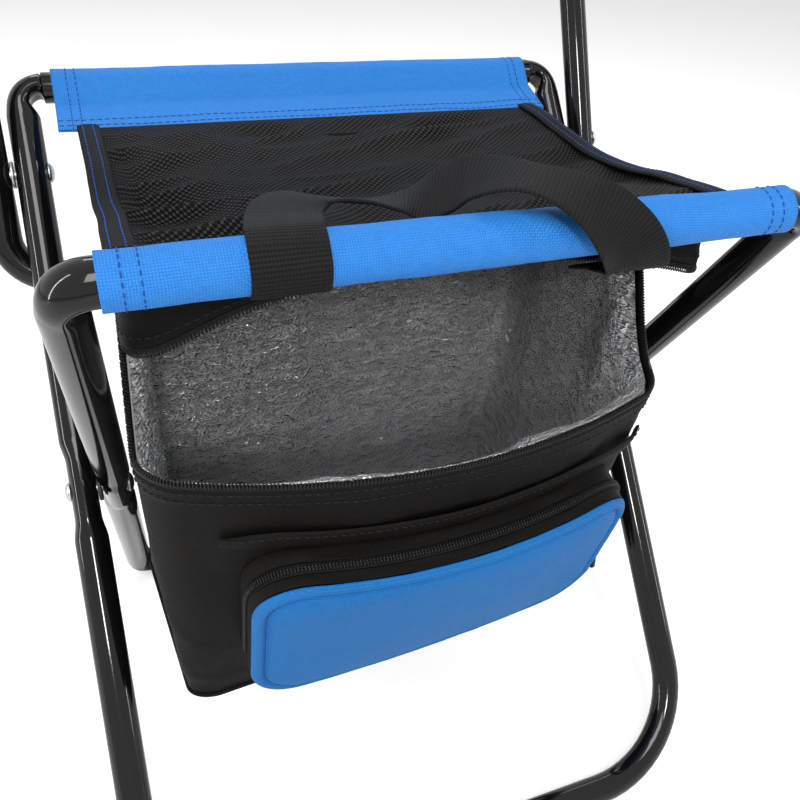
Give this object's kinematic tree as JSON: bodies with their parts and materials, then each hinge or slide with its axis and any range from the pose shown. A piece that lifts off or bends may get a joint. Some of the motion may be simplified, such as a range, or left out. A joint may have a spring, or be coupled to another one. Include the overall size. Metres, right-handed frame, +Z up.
{
  "type": "folding stool with backrest and insulated bag",
  "caption": "Folding tube-frame stool with a backrest, mesh seat and insulated zip bag slung under the seat.",
  "frame": {"origin": "centre of the footprint of the whole stool, on the floor", "axes": "+Z up, +X to the stool's right seen from its front, +Y to the back where the backrest stands"},
  "size_m": [0.3594, 0.3684, 0.6036],
  "materials": {
    "tube_paint": "gloss",
    "rivet_steel": "satin",
    "spacer_plastic": "matte",
    "blue_cloth": "woven",
    "black_cloth": "woven",
    "seat_mesh": "knitted mesh",
    "webbing": "ribbed",
    "foam": "matte",
    "foil": "embossed film",
    "zip_plastic": "satin",
    "zip_metal": "satin"
  },
  "bodies": {
    "outer_frame": {"outer_leg_tube": "tube_paint", "rear_seat_rail": "tube_paint", "pivot_rivet_left": "rivet_steel", "pivot_rivet_right": "rivet_steel", "backrest_rivet_left": "rivet_steel", "backrest_rivet_right": "rivet_steel", "pivot_spacer_left": "spacer_plastic", "pivot_spacer_right": "spacer_plastic", "backrest_spacer_left": "rivet_steel", "backrest_spacer_right": "rivet_steel", "rear_seat_sleeve": "blue_cloth", "pocket_face": "blue_cloth", "seat_mesh": "seat_mesh", "seat_hem_left": "black_cloth", "seat_hem_right": "black_cloth", "bag_top_band": "black_cloth", "bag_left_panel": "black_cloth", "bag_front_panel": "black_cloth", "bag_right_panel": "black_cloth", "bag_back_panel": "black_cloth", "bag_bottom_panel": "black_cloth", "foam_left_board": "foam", "foam_front_board": "foam", "foam_right_board": "foam", "foam_back_board": "foam", "foam_bottom_board": "foam", "foil_lining_walls": "foil", "foil_lining_bottom": "foil", "main_zip_upper": "zip_plastic", "main_zip_lower": "zip_plastic", "pocket_zip": "zip_plastic", "pocket_gusset_base": "black_cloth", "pocket_gusset_rear": "black_cloth", "pocket_gusset_front": "black_cloth", "pocket_storm_flap": "black_cloth", "carry_handle": "webbing"},
    "inner_frame": {"inner_leg_tube": "tube_paint", "rear_foot_bar": "tube_paint", "front_seat_sleeve": "blue_cloth"},
    "backrest": {"backrest_tube": "tube_paint", "backrest_top_bar": "tube_paint", "backrest_cover": "blue_cloth"},
    "main_zip_slider": {"main_zip_slider": "zip_metal"},
    "main_zip_pull": {"main_zip_pull": "zip_metal"},
    "pocket_zip_slider": {"pocket_zip_slider": "zip_metal"},
    "pocket_zip_pull": {"pocket_zip_pull": "zip_metal"}
  },
  "joints": [
    {"name": "fold", "type": "hinge", "parent": "outer_frame", "child": "inner_frame", "pos_m": [0, -0.03207, 0.18562], "axis": [-1, 0, 0], "range_deg": [0, 62], "deforming": ["seat_mesh", "seat_hem_left", "seat_hem_right", "carry_handle"]},
    {"name": "backrest_hinge", "type": "hinge", "parent": "outer_frame", "child": "backrest", "pos_m": [0, 0.07053, 0.31484], "axis": [1, 0, 0], "range_deg": [0, 92]},
    {"name": "main_zip_slide", "type": "slide", "parent": "outer_frame", "child": "main_zip_slider", "axis": [0, 1, 0], "range_m": [0, 0.08]},
    {"name": "main_pull_swing", "type": "hinge", "parent": "main_zip_slider", "child": "main_zip_pull", "pos_m": [0.1214, -0.06607, 0.31965], "axis": [1, 0, 0], "range_deg": [-60, 60]},
    {"name": "pocket_zip_slide", "type": "slide", "parent": "outer_frame", "child": "pocket_zip_slider", "axis": [0.0229, -0.3458, 0.938], "range_m": [0, 0.023]},
    {"name": "pocket_pull_swing", "type": "hinge", "parent": "pocket_zip_slider", "child": "pocket_zip_pull", "pos_m": [0.09263, -0.12484, 0.16321], "axis": [0.9978, 0.0661, 0], "range_deg": [-60, 35]}
  ]
}
